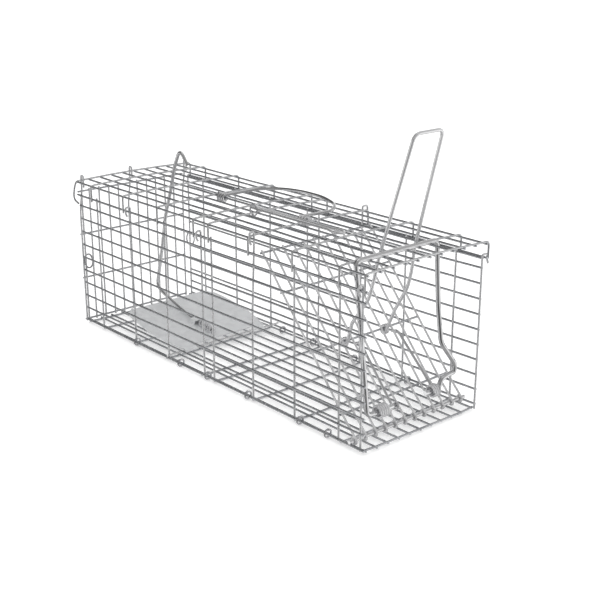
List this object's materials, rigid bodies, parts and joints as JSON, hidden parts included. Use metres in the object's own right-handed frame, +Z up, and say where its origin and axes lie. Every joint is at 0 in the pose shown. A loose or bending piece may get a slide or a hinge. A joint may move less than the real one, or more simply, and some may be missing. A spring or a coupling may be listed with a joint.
{
  "type": "live catch trap",
  "caption": "Welded wire cage trap with a sprung front door, a setting lever, a treadle with a trigger rod, a latch arm and a carry handle.",
  "frame": {"origin": "middle of the cage's footprint, on the underside of the floor sheet", "axes": "+X along the cage toward the entrance, +Y across it, away from the side with the trigger rod's hook nearer to it, +Z up"},
  "size_m": [0.3868, 0.129, 0.2339],
  "materials": {
    "mesh_wire": "bright zinc-plated steel wire",
    "plated_rod": "bright nickel-plated steel rod",
    "spring_wire": "bright drawn spring wire",
    "galvanised_sheet": "smooth galvanised sheet, satin"
  },
  "bodies": {
    "cage": {"roof_sheet": "mesh_wire", "near_side_panel": "mesh_wire", "far_side_panel": "mesh_wire", "floor_sheet": "mesh_wire", "rear_panel": "mesh_wire", "near_floor_ring_1": "mesh_wire", "near_floor_ring_2": "mesh_wire", "near_floor_ring_3": "mesh_wire", "near_floor_ring_4": "mesh_wire", "near_floor_ring_5": "mesh_wire", "near_floor_ring_6": "mesh_wire", "far_floor_ring_1": "mesh_wire", "far_floor_ring_2": "mesh_wire", "far_floor_ring_3": "mesh_wire", "far_floor_ring_4": "mesh_wire", "far_floor_ring_5": "mesh_wire", "far_floor_ring_6": "mesh_wire", "near_rear_ring": "mesh_wire", "far_rear_ring": "mesh_wire", "roof_clip_ring": "mesh_wire", "door_hinge_bar": "plated_rod", "treadle_hinge_wire": "plated_rod", "spring_bail": "plated_rod", "near_spring_coil": "spring_wire", "far_spring_coil": "spring_wire"},
    "door": {"door_grid": "mesh_wire"},
    "lever": {"setting_lever": "plated_rod"},
    "spring_arms": {"near_spring_arm": "spring_wire", "far_spring_arm": "spring_wire"},
    "treadle": {"treadle_plate": "galvanised_sheet", "trigger_rod": "plated_rod"},
    "latch": {"latch_arm": "plated_rod"},
    "handle": {"carry_handle": "plated_rod"}
  },
  "joints": [
    {"name": "door_swing", "type": "hinge", "parent": "cage", "child": "door", "pos_m": [0.1784, 0, 0.0073], "axis": [0, -1, 0], "range_deg": [0, 48]},
    {"name": "lever_swing", "type": "hinge", "parent": "door", "child": "lever", "pos_m": [0.13007, 0, 0.06289], "axis": [0, -1, 0], "range_deg": [-42, 0.5]},
    {"name": "spring_arm_swing", "type": "hinge", "parent": "cage", "child": "spring_arms", "pos_m": [0.1778, 0, 0.023], "axis": [0, -1, 0], "range_deg": [-0.5, 55]},
    {"name": "treadle_tilt", "type": "hinge", "parent": "cage", "child": "treadle", "pos_m": [-0.0546, 0, 0.0068], "axis": [0, 1, 0], "range_deg": [-6, 2]},
    {"name": "latch_swing", "type": "hinge", "parent": "cage", "child": "latch", "pos_m": [0.0089, -0.0203, 0.1461], "axis": [0, -1, 0], "range_deg": [0, 160]},
    {"name": "handle_swing", "type": "hinge", "parent": "cage", "child": "handle", "pos_m": [0, 0, 0.141], "axis": [1, 0, 0], "range_deg": [0, 80]}
  ],
  "couplings": [
    {"joint": "lever_swing", "follows": "door_swing", "ratio": -0.86},
    {"joint": "spring_arm_swing", "follows": "door_swing", "ratio": 1.12}
  ]
}
